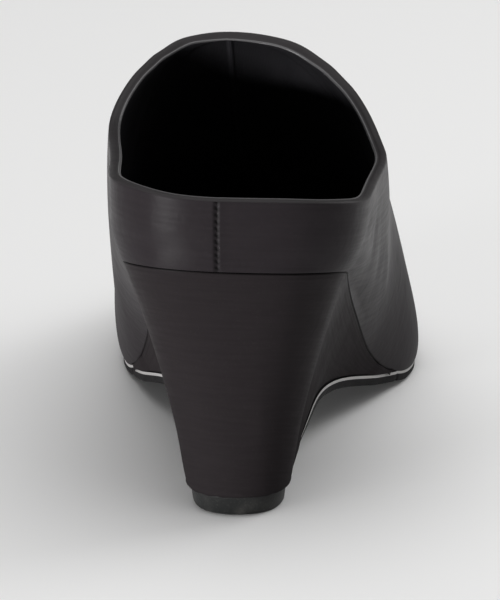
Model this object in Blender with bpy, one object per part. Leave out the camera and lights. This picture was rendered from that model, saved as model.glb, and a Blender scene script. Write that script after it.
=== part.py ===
"""A right-foot pointed toe wedge mule, in metres, with +Y towards the toe, +X lateral and +Z up.

The origin is on the floor, at the middle of the heel tip. Five pieces stand 0.3 mm apart: the hollow upper,
the insole inside it, the covered wedge heel, the thin outsole and the rubber top piece.

Every piece comes from one table of sections. Each row is a place round the foot, from the back of the heel
to the toe point, and gives the feather line (where upper meets sole), the instep ridge, how far the wall
leans out, the height of the collar and the edge of the wedge's underside. A smooth closed curve through the
rows carries each of these round the shoe.
"""

import bmesh
import bpy
import numpy as np

# Sizes of the last and of the shoe, in metres.
LENGTH = 0.240
BALL_WIDTH = 0.080
HEEL_HEIGHT = 0.068
INSTEP_HEIGHT = 0.0948
HEEL_REACH = 0.028
SIDE_LEAN = 0.020
UPPER_WALL = 0.0020
COLLAR_WALL = 0.0030
INSOLE_THICKNESS = 0.0025
OUTSOLE_THICKNESS = 0.0026
TOP_PIECE_HEIGHT = 0.0045
TOP_PIECE_WIDTH = 0.0244
TOP_PIECE_BEVEL = 0.0006
TOP_PIECE_DRAFT = 0.0010
WEDGE_INSET = 0.0002
SOLE_INSET = 0.0005
SOLE_EDGE_BEVEL = 0.0005
SOLE_LEDGE = 0.0005
WEDGE_WAIST = 0.30
GAP = 0.0003

# How finely the pieces are divided.
COLUMNS_PER_ROW = 3
THROAT_COLUMNS = 9
UPPER_ROWS = 11
WEDGE_ROWS = 8

# Rows of the section table that mark a change: the throat's top, the breast's foot and the wedge's end.
THROAT_ROW = 12
BREAST_ROW = 5
WEDGE_END_ROW = 11

# One row for each section. along: distance from the heel's back, as a share of LENGTH. lateral and medial:
# the feather line's distance from the middle plane, as shares of BALL_WIDTH. seat: the height of the
# last's bottom, as a share of HEEL_HEIGHT. cant: the bottom's slope across. ridge_along, ridge_side and
# ridge: the top line of the last, as shares of LENGTH, BALL_WIDTH and INSTEP_HEIGHT.
SECTION_COLUMNS = ("along", "lateral", "medial", "seat", "cant", "ridge_along", "ridge_side", "ridge")
SECTIONS = (
    (0.000, -0.022, 0.022, 1.000, 0.020, 0.142, -0.022, 1.477),
    (0.007, 0.146, 0.170, 0.996, 0.022, 0.146, -0.022, 1.477),
    (0.029, 0.253, 0.275, 0.982, 0.028, 0.158, -0.022, 1.477),
    (0.067, 0.322, 0.340, 0.953, 0.034, 0.175, -0.024, 1.477),
    (0.117, 0.341, 0.358, 0.904, 0.038, 0.200, -0.025, 1.477),
    (0.183, 0.336, 0.352, 0.814, 0.040, 0.233, -0.030, 1.482),
    (0.250, 0.337, 0.338, 0.682, 0.040, 0.275, -0.038, 1.487),
    (0.317, 0.350, 0.330, 0.526, 0.038, 0.329, -0.050, 1.477),
    (0.383, 0.366, 0.340, 0.368, 0.034, 0.388, -0.062, 1.435),
    (0.433, 0.384, 0.362, 0.254, 0.028, 0.434, -0.078, 1.350),
    (0.479, 0.418, 0.390, 0.150, 0.018, 0.479, -0.090, 1.222),
    (0.521, 0.460, 0.420, 0.082, 0.008, 0.521, -0.098, 1.109),
    (0.558, 0.496, 0.449, 0.050, 0.003, 0.558, -0.100, 1.006),
    (0.608, 0.514, 0.474, 0.039, 0.000, 0.608, -0.100, 0.865),
    (0.667, 0.499, 0.483, 0.038, 0.000, 0.667, -0.100, 0.713),
    (0.725, 0.457, 0.470, 0.038, 0.000, 0.725, -0.094, 0.572),
    (0.783, 0.390, 0.422, 0.039, 0.000, 0.783, -0.087, 0.454),
    (0.842, 0.300, 0.354, 0.043, 0.000, 0.838, -0.079, 0.358),
    (0.896, 0.204, 0.268, 0.056, 0.000, 0.886, -0.070, 0.293),
    (0.942, 0.121, 0.190, 0.076, 0.000, 0.923, -0.062, 0.251),
    (0.975, 0.052, 0.126, 0.098, 0.000, 0.948, -0.057, 0.226),
    (0.994, 0.004, 0.092, 0.113, 0.000, 0.963, -0.053, 0.215),
    (1.000, -0.050, 0.050, 0.119, 0.000, 0.969, -0.050, 0.211),
)

# How each section's wall rises. lean_lateral and lean_medial: how far it heads out on its way up, as shares
# of SIDE_LEAN. rise: where it heads back in, as a share of the section's height. crown_lateral and
# crown_medial: how far it comes level to the ridge, as shares of BALL_WIDTH. collar_lateral and
# collar_medial: the height at which the wall is cut for the opening, as shares of INSTEP_HEIGHT; past the
# throat they are above the ridge, so the wall closes there.
WALL_COLUMNS = (
    "lean_lateral", "lean_medial", "rise", "crown_lateral", "crown_medial", "collar_lateral", "collar_medial"
)
WALLS = (
    (0.25, 0.25, 0.30, 0.34, 0.34, 0.909, 0.909),
    (0.36, 0.29, 0.30, 0.35, 0.35, 0.905, 0.913),
    (0.56, 0.36, 0.30, 0.37, 0.37, 0.892, 0.918),
    (0.78, 0.45, 0.30, 0.39, 0.39, 0.872, 0.914),
    (0.90, 0.53, 0.30, 0.40, 0.40, 0.848, 0.897),
    (0.88, 0.62, 0.30, 0.41, 0.40, 0.826, 0.868),
    (0.84, 0.74, 0.30, 0.42, 0.40, 0.805, 0.845),
    (0.82, 0.86, 0.29, 0.43, 0.41, 0.785, 0.826),
    (0.78, 0.92, 0.28, 0.45, 0.42, 0.774, 0.817),
    (0.64, 0.89, 0.26, 0.46, 0.42, 0.793, 0.838),
    (0.50, 0.72, 0.20, 0.48, 0.42, 0.862, 0.901),
    (0.40, 0.50, 0.15, 0.495, 0.42, 0.936, 0.959),
    (0.27, 0.32, 0.11, 0.505, 0.42, 1.006, 1.006),
    (0.24, 0.26, 0.11, 0.455, 0.41, 1.060, 1.060),
    (0.24, 0.24, 0.14, 0.41, 0.38, 1.080, 1.080),
    (0.24, 0.24, 0.18, 0.37, 0.33, 1.080, 1.080),
    (0.24, 0.25, 0.23, 0.30, 0.28, 1.080, 1.080),
    (0.24, 0.26, 0.30, 0.23, 0.22, 1.080, 1.080),
    (0.22, 0.22, 0.34, 0.16, 0.16, 1.080, 1.080),
    (0.20, 0.20, 0.38, 0.11, 0.11, 1.080, 1.080),
    (0.18, 0.18, 0.41, 0.08, 0.08, 1.080, 1.080),
    (0.16, 0.16, 0.43, 0.06, 0.06, 1.080, 1.080),
    (0.15, 0.15, 0.44, 0.05, 0.05, 1.080, 1.080),
)

# The edge of the wedge's underside below each section, up to the wedge's end: round the heel tip, up the
# breast and along the arch. along: as above. height: as a share of HEEL_HEIGHT. lateral and medial: as
# shares of BALL_WIDTH.
UNDERSIDE_COLUMNS = ("along", "height", "lateral", "medial")
UNDERSIDE = (
    (0.064, 0.071, 0.000, 0.000),
    (0.069, 0.071, 0.070, 0.070),
    (0.083, 0.071, 0.120, 0.120),
    (0.108, 0.071, 0.150, 0.150),
    (0.140, 0.071, 0.155, 0.155),
    (0.171, 0.076, 0.154, 0.154),
    (0.197, 0.213, 0.198, 0.194),
    (0.255, 0.272, 0.228, 0.220),
    (0.325, 0.250, 0.269, 0.250),
    (0.392, 0.196, 0.322, 0.300),
    (0.457, 0.132, 0.388, 0.365),
    (0.520, 0.071, 0.450, 0.412),
)


def smooth_curve(knots, stops, closed):
    """Points of a curve through the knots whose bend changes without a jump, at each span's own stops."""
    knots = np.asarray(knots, float)
    count = len(knots)
    system = np.zeros((count, count))
    load = np.zeros_like(knots)
    for i in range(count):
        if closed or 0 < i < count - 1:
            before, after = (i - 1) % count, (i + 1) % count
            system[i, i] = 4.0
            system[i, before] = 1.0
            system[i, after] = 1.0
            load[i] = 6.0 * (knots[before] - 2.0 * knots[i] + knots[after])
        else:
            system[i, i] = 1.0
    bend = np.linalg.solve(system, load)
    points = []
    for i, shares in enumerate(stops):
        j = (i + 1) % count
        for t in shares:
            s = 1.0 - t
            straight = s * knots[i] + t * knots[j]
            points.append(straight + ((s**3 - s) * bend[i] + (t**3 - t) * bend[j]) / 6.0)
    if not closed:
        points.append(knots[-1])
    return np.array(points)


def span_stops(last_row):
    """Where columns stand within each span out along one side, closer together as the throat closes."""
    even = np.arange(COLUMNS_PER_ROW) / COLUMNS_PER_ROW
    near = (np.arange(THROAT_COLUMNS) / THROAT_COLUMNS) ** 1.8
    special = {THROAT_ROW - 1: 1.0 - (1.0 - np.arange(THROAT_COLUMNS) / THROAT_COLUMNS) ** 1.8, THROAT_ROW: near}
    return [special.get(row, even) for row in range(last_row)]


def mirrored(stops):
    """The stops of the same spans walked the other way."""
    return [np.concatenate([[0.0], 1.0 - shares[:0:-1]]) for shares in reversed(stops)]


def column_of(row):
    """The number of the column that stands on a row of the tables."""
    return sum(len(shares) for shares in span_stops(row))


def unit(vectors):
    """The vectors at length one."""
    return vectors / np.linalg.norm(vectors, axis=-1, keepdims=True)


def table(rows, columns, name):
    """One named column of a table, as an array."""
    return np.array([row[columns.index(name)] for row in rows])


def sections_round():
    """The section and wall tables carried round the shoe: lateral side out to the toe, medial side back."""
    along = table(SECTIONS, SECTION_COLUMNS, "along") * LENGTH - HEEL_REACH
    ridge_along = table(SECTIONS, SECTION_COLUMNS, "ridge_along") * LENGTH - HEEL_REACH
    both = {
        "y": along,
        "seat": table(SECTIONS, SECTION_COLUMNS, "seat") * HEEL_HEIGHT,
        "cant": table(SECTIONS, SECTION_COLUMNS, "cant"),
        "ridge_y": ridge_along,
        "ridge_x": table(SECTIONS, SECTION_COLUMNS, "ridge_side") * BALL_WIDTH,
        "ridge_z": table(SECTIONS, SECTION_COLUMNS, "ridge") * INSTEP_HEIGHT,
        "rise": table(WALLS, WALL_COLUMNS, "rise"),
    }
    lateral = {
        "x": table(SECTIONS, SECTION_COLUMNS, "lateral") * BALL_WIDTH,
        "lean": table(WALLS, WALL_COLUMNS, "lean_lateral") * SIDE_LEAN,
        "crown": table(WALLS, WALL_COLUMNS, "crown_lateral") * BALL_WIDTH,
        "collar": table(WALLS, WALL_COLUMNS, "collar_lateral") * INSTEP_HEIGHT,
    }
    medial = {
        "x": -table(SECTIONS, SECTION_COLUMNS, "medial") * BALL_WIDTH,
        "lean": table(WALLS, WALL_COLUMNS, "lean_medial") * SIDE_LEAN,
        "crown": table(WALLS, WALL_COLUMNS, "crown_medial") * BALL_WIDTH,
        "collar": table(WALLS, WALL_COLUMNS, "collar_medial") * INSTEP_HEIGHT,
    }
    names = list(both) + list(lateral)
    out = np.stack([*both.values(), *lateral.values()], axis=1)
    back = np.stack([*both.values(), *medial.values()], axis=1)
    knots = np.concatenate([out, back[-2:0:-1]])
    stops = span_stops(len(SECTIONS) - 1)
    values = smooth_curve(knots, stops + mirrored(stops), closed=True)
    return {name: values[:, k] for k, name in enumerate(names)}


class Last:
    """The form that every piece is cut from, as columns that run once round the shoe."""

    def __init__(self):
        self.round = sections_round()
        self.count = len(self.round["y"])
        self.toe = self.count // 2
        self.throat = column_of(THROAT_ROW)
        ahead = np.roll(self.round["x"], -1) - np.roll(self.round["x"], 1)
        aside = np.roll(self.round["y"], -1) - np.roll(self.round["y"], 1)
        # The columns run from the heel's back along the lateral side, so outwards is on their right.
        self.outward = unit(np.stack([aside, -ahead, np.zeros(self.count)], axis=1))

    def mate(self, column):
        """The column across the shoe from this one."""
        return (self.count - column) % self.count

    def ground(self, x, y):
        """The height of the last's bottom at a place in plan."""
        side = slice(0, self.toe + 1)
        seat = np.interp(y, self.round["y"][side], self.round["seat"][side])
        cant = np.interp(y, self.round["y"][side], self.round["cant"][side])
        return seat - cant * x

    def feather(self, inset, lift):
        """The feather line moved inwards and up: one point for each column."""
        points = np.stack([self.round["x"], self.round["y"], np.zeros(self.count)], axis=1)
        points = points - inset * self.outward
        points[:, 2] = self.ground(points[:, 0], points[:, 1]) + lift
        return points

    def rib(self, column, shares):
        """Points up the outside of the upper over one column, at shares of the way to the collar."""
        r = {name: values[column] for name, values in self.round.items()}
        foot = self.feather(0.0, GAP)[column]
        top = np.array([r["ridge_x"], r["ridge_y"], r["ridge_z"]])
        side = slice(0, self.toe + 1)
        slopes = np.gradient(self.round["ridge_z"][side], self.round["ridge_y"][side])
        slope = np.interp(top[1], self.round["ridge_y"][side], slopes)
        away = unit((foot - top) * [1.0, 1.0, 0.0])
        low = foot + r["lean"] * away
        low[2] += r["rise"] * (top[2] - foot[2])
        high = top + r["crown"] * away
        high[2] += r["crown"] * away[1] * slope

        def at(t):
            s = 1.0 - t
            return s**3 * foot + 3 * s * s * t * low + 3 * s * t * t * high + t**3 * top

        past = min(column, self.mate(column))
        cut = 1.0
        if past < self.throat:
            below, above = 0.0, 1.0
            for _ in range(40):
                cut = (below + above) / 2.0
                if at(cut)[2] < r["collar"]:
                    below = cut
                else:
                    above = cut
        return [at(cut * share) for share in shares]


def quad(bm, corners):
    """A face on these corners, with repeated ones left out."""
    kept = [v for i, v in enumerate(corners) if v not in corners[:i]]
    if len(kept) > 2:
        bm.faces.new(kept)


def skin(bm, first, second, closed):
    """Faces between two runs of vertices of the same length."""
    count = len(first)
    for i in range(count if closed else count - 1):
        j = (i + 1) % count
        quad(bm, [first[i], first[j], second[j], second[i]])


def finish(bm, name, colour, roughness, bend):
    """Turns a closed bmesh into a named object with its own material."""
    bmesh.ops.remove_doubles(bm, verts=bm.verts, dist=1e-6)
    bmesh.ops.recalc_face_normals(bm, faces=bm.faces)
    if bm.calc_volume(signed=True) < 0:
        bmesh.ops.reverse_faces(bm, faces=bm.faces)
    mesh = bpy.data.meshes.new(name)
    bm.to_mesh(mesh)
    bm.free()
    mesh.shade_smooth()
    mesh.set_sharp_from_angle(angle=np.radians(bend))
    obj = bpy.data.objects.new(name, mesh)
    bpy.context.scene.collection.objects.link(obj)
    material = bpy.data.materials.new(name)
    material.use_nodes = True
    shader = material.node_tree.nodes["Principled BSDF"]
    shader.inputs["Base Color"].default_value = (*colour, 1.0)
    shader.inputs["Roughness"].default_value = roughness
    shader.inputs["Metallic"].default_value = 0.0
    mesh.materials.append(material)
    return obj


def upper_sheet(bm, last, grid):
    """Faces over a grid of rows and columns, joined along the ridge past the throat."""
    rows = [[bm.verts.new(p) for p in row] for row in grid]
    for column in range(last.toe + 1, last.count):
        if last.mate(column) >= last.throat:
            bm.verts.remove(rows[-1][column])
            rows[-1][column] = rows[-1][last.mate(column)]
    for low, high in zip(rows, rows[1:]):
        skin(bm, low, high, closed=True)
    return rows


def build_upper(last):
    """The hollow shell: the last's own form outside, and the same form moved in by the wall inside."""
    shares = np.linspace(0.0, 1.0, UPPER_ROWS) ** 1.15
    outside = np.array([last.rib(column, shares) for column in range(last.count)]).transpose(1, 0, 2)
    trial = bmesh.new()
    rows = upper_sheet(trial, last, outside)
    bmesh.ops.recalc_face_normals(trial, faces=trial.faces)
    trial.normal_update()
    normals = np.array([[v.normal[:] for v in row] for row in rows])
    trial.free()
    if (normals[1] * last.outward).sum() < 0:
        normals = -normals
    past = np.minimum(np.arange(last.count), last.count - np.arange(last.count))
    open_share = np.clip(1.0 - (past - last.throat) / THROAT_COLUMNS, 0.0, 1.0)
    # The folded collar is thicker than the wall below it.
    wall = UPPER_WALL + (COLLAR_WALL - UPPER_WALL) * shares[:, None] ** 8 * open_share
    inside = outside - wall[:, :, None] * normals
    inside[0] = last.feather(UPPER_WALL, GAP)
    bm = bmesh.new()
    outer = upper_sheet(bm, last, outside)
    inner = upper_sheet(bm, last, inside)
    skin(bm, outer[0], inner[0], closed=True)
    rim = [*range(last.throat + 1), *range(last.mate(last.throat), last.count)]
    # The folded edge is a little higher in its middle than at its two sides.
    crest = []
    for column in rim:
        middle = (outer[-1][column].co + inner[-1][column].co) / 2.0
        along = unit(outside[-1][column] - outside[-2][column])
        crest.append(np.array(middle) + 0.3 * UPPER_WALL * along)
    crest[-1 - (last.count - last.mate(last.throat)) + 1] = crest[last.throat]
    fold = [bm.verts.new(p) for p in crest]
    skin(bm, [outer[-1][c] for c in rim], fold, closed=True)
    skin(bm, fold, [inner[-1][c] for c in rim], closed=True)
    return finish(bm, "upper", (0.018, 0.016, 0.019), 0.42, 40)


def build_slab(last, low, high, name, colour, roughness):
    """A flat piece between two loops of points, closed across the shoe from column to mate."""
    bm = bmesh.new()
    bottom = [bm.verts.new(p) for p in low]
    top = [bm.verts.new(p) for p in high]
    skin(bm, bottom, top, closed=True)
    for loop in (bottom, top):
        for column in range(last.toe):
            ahead = column + 1
            quad(bm, [loop[column], loop[ahead], loop[last.mate(ahead)], loop[last.mate(column)]])
    return finish(bm, name, colour, roughness, 40)


def build_insole(last):
    """The board and sock inside the upper."""
    edge = UPPER_WALL + GAP
    low = last.feather(edge, GAP)
    high = last.feather(edge + 0.2 * INSOLE_THICKNESS, GAP + INSOLE_THICKNESS)
    return build_slab(last, low, high, "insole", (0.014, 0.013, 0.014), 0.6)


def underside():
    """The edge of the wedge's underside: lateral and medial points from the heel's back to the wedge's end."""
    along = table(UNDERSIDE, UNDERSIDE_COLUMNS, "along") * LENGTH - HEEL_REACH
    height = table(UNDERSIDE, UNDERSIDE_COLUMNS, "height") * HEEL_HEIGHT
    lateral = table(UNDERSIDE, UNDERSIDE_COLUMNS, "lateral") * BALL_WIDTH
    medial = -table(UNDERSIDE, UNDERSIDE_COLUMNS, "medial") * BALL_WIDTH
    out = np.stack([lateral, along, height], axis=1)
    back = np.stack([medial, along, height], axis=1)
    stops = span_stops(WEDGE_END_ROW)
    points = smooth_curve(np.concatenate([back[:0:-1], out]), mirrored(stops) + stops, closed=False)
    middle = len(points) // 2
    points[:, 2] = np.maximum(points[:, 2], TOP_PIECE_HEIGHT + GAP)
    return points[middle:], points[middle::-1]


def build_wedge(last):
    """The covered heel block: the seat's outline on top, drawn in to the heel tip and the arch below."""
    end = column_of(WEDGE_END_ROW)
    top = last.feather(WEDGE_INSET, 0.0)
    sides = []
    for edge, columns in (
        (underside()[0], range(end + 1)),
        (underside()[1], [last.mate(c) for c in range(end + 1)]),
    ):
        grid = []
        for place, column in enumerate(columns):
            head, foot = top[column], edge[place]
            drop = head[2] - foot[2]
            # The wall falls in quickly under the seat, then stands nearly upright on the tip.
            upper_turn = head + (foot - head) * np.array([0.52, 0.52, 0.40])
            lower_turn = foot + (head - foot) * np.array([WEDGE_WAIST, WEDGE_WAIST, 0.0]) * 0.7
            lower_turn[2] = foot[2] + 0.25 * drop
            shares = np.linspace(0.0, 1.0, WEDGE_ROWS)[:, None]
            rest = 1.0 - shares
            curve = rest**3 * head + 3 * rest**2 * shares * upper_turn
            curve = curve + 3 * rest * shares**2 * lower_turn + shares**3 * foot
            grid.append(curve)
        sides.append(np.array(grid))
    bm = bmesh.new()
    lateral = [[bm.verts.new(p) for p in column] for column in sides[0]]
    medial = [lateral[0]] + [[bm.verts.new(p) for p in column] for column in sides[1][1:]]
    for side in (lateral, medial):
        for one, two in zip(side, side[1:]):
            skin(bm, one, two, closed=False)
    for level in (0, WEDGE_ROWS - 1):
        skin(bm, [c[level] for c in lateral], [c[level] for c in medial], closed=False)
    skin(bm, lateral[-1], medial[-1], closed=False)
    return finish(bm, "wedge", (0.018, 0.016, 0.018), 0.45, 40)


def build_outsole(last):
    """The thin sole: down the breast of the heel, along the arch and under the forefoot to the toe."""
    start = column_of(BREAST_ROW)
    lateral, medial = (side[start:] for side in underside())
    feather = last.feather(SOLE_INSET, 0.0)
    first = column_of(WEDGE_END_ROW) + 1
    ahead = range(first, last.toe + 1)
    fore_lateral = np.array([feather[c] for c in ahead])
    fore_medial = np.array([feather[last.mate(c)] for c in ahead])
    pairs = np.array([np.concatenate([lateral, fore_lateral]), np.concatenate([medial, fore_medial])])
    pairs[0, : len(lateral), 0] += SOLE_LEDGE
    pairs[1, : len(medial), 0] -= SOLE_LEDGE
    path = pairs.mean(axis=0)[:, 1:]
    step = np.gradient(path, axis=0)
    down = unit(np.stack([step[:, 1], -step[:, 0]], axis=1))
    down = np.concatenate([np.zeros((len(down), 1)), down], axis=1)
    bare = len(lateral)
    clear = np.where(np.arange(len(path)) < bare, GAP, 0.0)[:, None]
    bm = bmesh.new()
    rails = []
    floor = np.zeros(len(path))
    for side, sign in ((0, 1.0), (1, -1.0)):
        top = pairs[side] + down * clear
        low = pairs[side] + down * (clear + OUTSOLE_THICKNESS)
        low[:, 2] = np.maximum(low[:, 2], floor)
        for line in (top, low):
            line[:bare, 2] = np.maximum(line[:bare, 2], 0.0)
        line_in = low.copy()
        line_in[:, 0] -= sign * SOLE_EDGE_BEVEL
        waist = top + (low - top) * 0.75
        rails.append([top, waist, line_in])
    least = TOP_PIECE_HEIGHT + GAP
    tip_front = UNDERSIDE[BREAST_ROW][0] * LENGTH - HEEL_REACH + OUTSOLE_THICKNESS + 3 * GAP
    for rail in rails:
        for line in rail:
            near = line[:, 1] < tip_front
            line[near, 2] = np.maximum(line[near, 2], least)
            line[-1, 0] = rails[0][0][-1, 0]
    verts = [[[bm.verts.new(p) for p in line] for line in rail] for rail in rails]
    for rail in verts:
        skin(bm, rail[0], rail[1], closed=False)
        skin(bm, rail[1], rail[2], closed=False)
    skin(bm, verts[0][0], verts[1][0], closed=False)
    skin(bm, verts[0][2], verts[1][2], closed=False)
    ring = [verts[0][k][0] for k in (0, 1, 2)] + [verts[1][k][0] for k in (2, 1, 0)]
    bm.faces.new(ring)
    bmesh.ops.remove_doubles(bm, verts=bm.verts, dist=1e-6)
    return finish(bm, "outsole", (0.05, 0.048, 0.05), 0.3, 40)


def build_top_piece():
    """The rubber heel tip: a rounded back and a straight front, under the stem and the outsole's foot."""
    lateral, medial = underside()
    arc = column_of(BREAST_ROW)
    front = UNDERSIDE[BREAST_ROW][0] * LENGTH - HEEL_REACH + GAP + OUTSOLE_THICKNESS
    scale = TOP_PIECE_WIDTH / (2.0 * lateral[: arc + 1, 0].max())
    outline = [*lateral[: arc + 1], *medial[arc:0:-1]]
    bm = bmesh.new()
    verts = []
    for point in outline:
        y = point[1] + GAP if point[1] < 0.0 else point[1]
        verts.append(bm.verts.new((point[0] * scale, y, 0.0)))
    verts[arc].co.y = front
    verts[arc + 1].co.y = front
    base = bm.faces.new(verts)
    made = bmesh.ops.extrude_face_region(bm, geom=[base])
    raised = [g for g in made["geom"] if isinstance(g, bmesh.types.BMVert)]
    bmesh.ops.translate(bm, verts=raised, vec=(0.0, 0.0, TOP_PIECE_HEIGHT))
    # The tip draws in a little towards the floor, all but its front.
    narrow = 1.0 - 2.0 * TOP_PIECE_DRAFT / TOP_PIECE_WIDTH
    for vert in verts:
        vert.co.x *= narrow
        vert.co.y = front - (front - vert.co.y) * narrow
    bmesh.ops.recalc_face_normals(bm, faces=bm.faces)
    foot = [e for e in bm.edges if all(v.co.z < 1e-9 for v in e.verts)]
    bmesh.ops.bevel(
        bm, geom=foot, offset=TOP_PIECE_BEVEL, affect="EDGES", segments=2, profile=0.5, material=-1
    )
    return finish(bm, "top_piece", (0.022, 0.022, 0.023), 0.5, 30)


def main():
    """Clears the scene and builds the five pieces."""
    for obj in list(bpy.data.objects):
        bpy.data.objects.remove(obj, do_unlink=True)
    last = Last()
    build_upper(last)
    build_insole(last)
    build_wedge(last)
    build_outsole(last)
    build_top_piece()


main()
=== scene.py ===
"""The looks of a black satin wedge mule, right shoe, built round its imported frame.

Every piece is laid over the same last that the frame's solids come from, in metres, with +Y towards the toe,
+X lateral and +Z up, and stands in for one solid.
"""

import logging
import math
from dataclasses import dataclass, field
from enum import Enum
from typing import Any

import bmesh
import bpy
import numpy as np
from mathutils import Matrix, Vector, noise


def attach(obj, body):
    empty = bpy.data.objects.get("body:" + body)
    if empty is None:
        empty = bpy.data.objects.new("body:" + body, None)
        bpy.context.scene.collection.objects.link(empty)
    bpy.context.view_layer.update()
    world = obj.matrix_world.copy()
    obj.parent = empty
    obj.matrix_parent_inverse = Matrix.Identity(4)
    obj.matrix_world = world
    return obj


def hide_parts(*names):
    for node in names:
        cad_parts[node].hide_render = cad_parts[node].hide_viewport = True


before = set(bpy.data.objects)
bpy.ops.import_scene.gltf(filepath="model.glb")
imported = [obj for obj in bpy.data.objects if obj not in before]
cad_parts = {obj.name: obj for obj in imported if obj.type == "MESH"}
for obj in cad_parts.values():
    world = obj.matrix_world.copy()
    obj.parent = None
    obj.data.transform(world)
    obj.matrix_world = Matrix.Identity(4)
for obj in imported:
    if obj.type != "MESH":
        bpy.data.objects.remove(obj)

LOG = logging.getLogger("mule")
BODY = "root"
LEAST_LENGTH = 1e-12

# One row for each section from the back of the heel to the toe point, as shares of the last's sizes.
SECTION_COLUMNS = (
    "along", "lateral", "medial", "seat", "cant", "ridge_along", "ridge_side", "ridge", "lean_lateral",
    "lean_medial", "rise", "crown_lateral", "crown_medial", "collar_lateral", "collar_medial",
)
SECTIONS = (
    (0.000, -0.022, 0.022, 1.000, 0.020, 0.142, -0.022, 1.477, 0.25, 0.25, 0.30, 0.34, 0.34, 0.909, 0.909),
    (0.007, 0.146, 0.170, 0.996, 0.022, 0.146, -0.022, 1.477, 0.36, 0.29, 0.30, 0.35, 0.35, 0.905, 0.913),
    (0.029, 0.253, 0.275, 0.982, 0.028, 0.158, -0.022, 1.477, 0.56, 0.36, 0.30, 0.37, 0.37, 0.892, 0.918),
    (0.067, 0.322, 0.340, 0.953, 0.034, 0.175, -0.024, 1.477, 0.78, 0.45, 0.30, 0.39, 0.39, 0.872, 0.914),
    (0.117, 0.341, 0.358, 0.904, 0.038, 0.200, -0.025, 1.477, 0.90, 0.53, 0.30, 0.40, 0.40, 0.848, 0.897),
    (0.183, 0.336, 0.352, 0.814, 0.040, 0.233, -0.030, 1.482, 0.88, 0.62, 0.30, 0.41, 0.40, 0.826, 0.868),
    (0.250, 0.337, 0.338, 0.682, 0.040, 0.275, -0.038, 1.487, 0.84, 0.74, 0.30, 0.42, 0.40, 0.805, 0.845),
    (0.317, 0.350, 0.330, 0.526, 0.038, 0.329, -0.050, 1.477, 0.82, 0.86, 0.29, 0.43, 0.41, 0.785, 0.826),
    (0.383, 0.366, 0.340, 0.368, 0.034, 0.388, -0.062, 1.435, 0.78, 0.92, 0.28, 0.45, 0.42, 0.774, 0.817),
    (0.433, 0.384, 0.362, 0.254, 0.028, 0.434, -0.078, 1.350, 0.64, 0.89, 0.26, 0.46, 0.42, 0.793, 0.838),
    (0.479, 0.418, 0.390, 0.150, 0.018, 0.479, -0.090, 1.222, 0.50, 0.72, 0.20, 0.48, 0.42, 0.862, 0.901),
    (0.521, 0.460, 0.420, 0.082, 0.008, 0.521, -0.098, 1.109, 0.40, 0.50, 0.15, 0.495, 0.42, 0.936, 0.959),
    (0.558, 0.496, 0.449, 0.050, 0.003, 0.558, -0.100, 1.006, 0.27, 0.32, 0.11, 0.505, 0.42, 1.006, 1.006),
    (0.608, 0.514, 0.474, 0.039, 0.000, 0.608, -0.100, 0.865, 0.24, 0.26, 0.11, 0.455, 0.41, 1.060, 1.060),
    (0.667, 0.499, 0.483, 0.038, 0.000, 0.667, -0.100, 0.713, 0.24, 0.24, 0.14, 0.41, 0.38, 1.080, 1.080),
    (0.725, 0.457, 0.470, 0.038, 0.000, 0.725, -0.094, 0.572, 0.24, 0.24, 0.18, 0.37, 0.33, 1.080, 1.080),
    (0.783, 0.390, 0.422, 0.039, 0.000, 0.783, -0.087, 0.454, 0.24, 0.25, 0.23, 0.30, 0.28, 1.080, 1.080),
    (0.842, 0.300, 0.354, 0.043, 0.000, 0.838, -0.079, 0.358, 0.24, 0.26, 0.30, 0.23, 0.22, 1.080, 1.080),
    (0.896, 0.204, 0.268, 0.056, 0.000, 0.886, -0.070, 0.293, 0.22, 0.22, 0.34, 0.16, 0.16, 1.080, 1.080),
    (0.942, 0.121, 0.190, 0.076, 0.000, 0.923, -0.062, 0.251, 0.20, 0.20, 0.38, 0.11, 0.11, 1.080, 1.080),
    (0.975, 0.052, 0.126, 0.098, 0.000, 0.948, -0.057, 0.226, 0.18, 0.18, 0.41, 0.08, 0.08, 1.080, 1.080),
    (0.994, 0.004, 0.092, 0.113, 0.000, 0.963, -0.053, 0.215, 0.16, 0.16, 0.43, 0.06, 0.06, 1.080, 1.080),
    (1.000, -0.050, 0.050, 0.119, 0.000, 0.969, -0.050, 0.211, 0.15, 0.15, 0.44, 0.05, 0.05, 1.080, 1.080),
)

# The edge of the wedge's underside, from the back of the heel tip to the wedge's end under the waist.
UNDERSIDE_COLUMNS = ("along", "height", "lateral", "medial")
UNDERSIDE = (
    (0.064, 0.071, 0.000, 0.000),
    (0.069, 0.071, 0.070, 0.070),
    (0.083, 0.071, 0.120, 0.120),
    (0.108, 0.071, 0.150, 0.150),
    (0.140, 0.071, 0.155, 0.155),
    (0.171, 0.076, 0.154, 0.154),
    (0.197, 0.213, 0.198, 0.194),
    (0.255, 0.272, 0.228, 0.220),
    (0.325, 0.250, 0.269, 0.250),
    (0.392, 0.196, 0.322, 0.300),
    (0.457, 0.132, 0.388, 0.365),
    (0.520, 0.076, 0.4575, 0.4175),
)


class Side(Enum):
    """The two sides of the foot, as the sign of X."""

    LATERAL = 1
    MEDIAL = -1


class Place(Enum):
    """Where a vertex of the shell lies, for the operators that pick edges."""

    ELSEWHERE = 0
    OUTER_FOOT = 1
    OUTER_COLLAR = 2
    INNER_FOOT = 3
    INNER_COLLAR = 4


def unit(vectors: np.ndarray) -> np.ndarray:
    """The vectors at length one."""
    return vectors / np.maximum(np.linalg.norm(vectors, axis=-1, keepdims=True), LEAST_LENGTH)


def spatial(x: np.ndarray, y: np.ndarray, z: np.ndarray) -> np.ndarray:
    """Points from their three coordinates, one row each."""
    return np.stack([x, y, z], axis=1)


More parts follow.
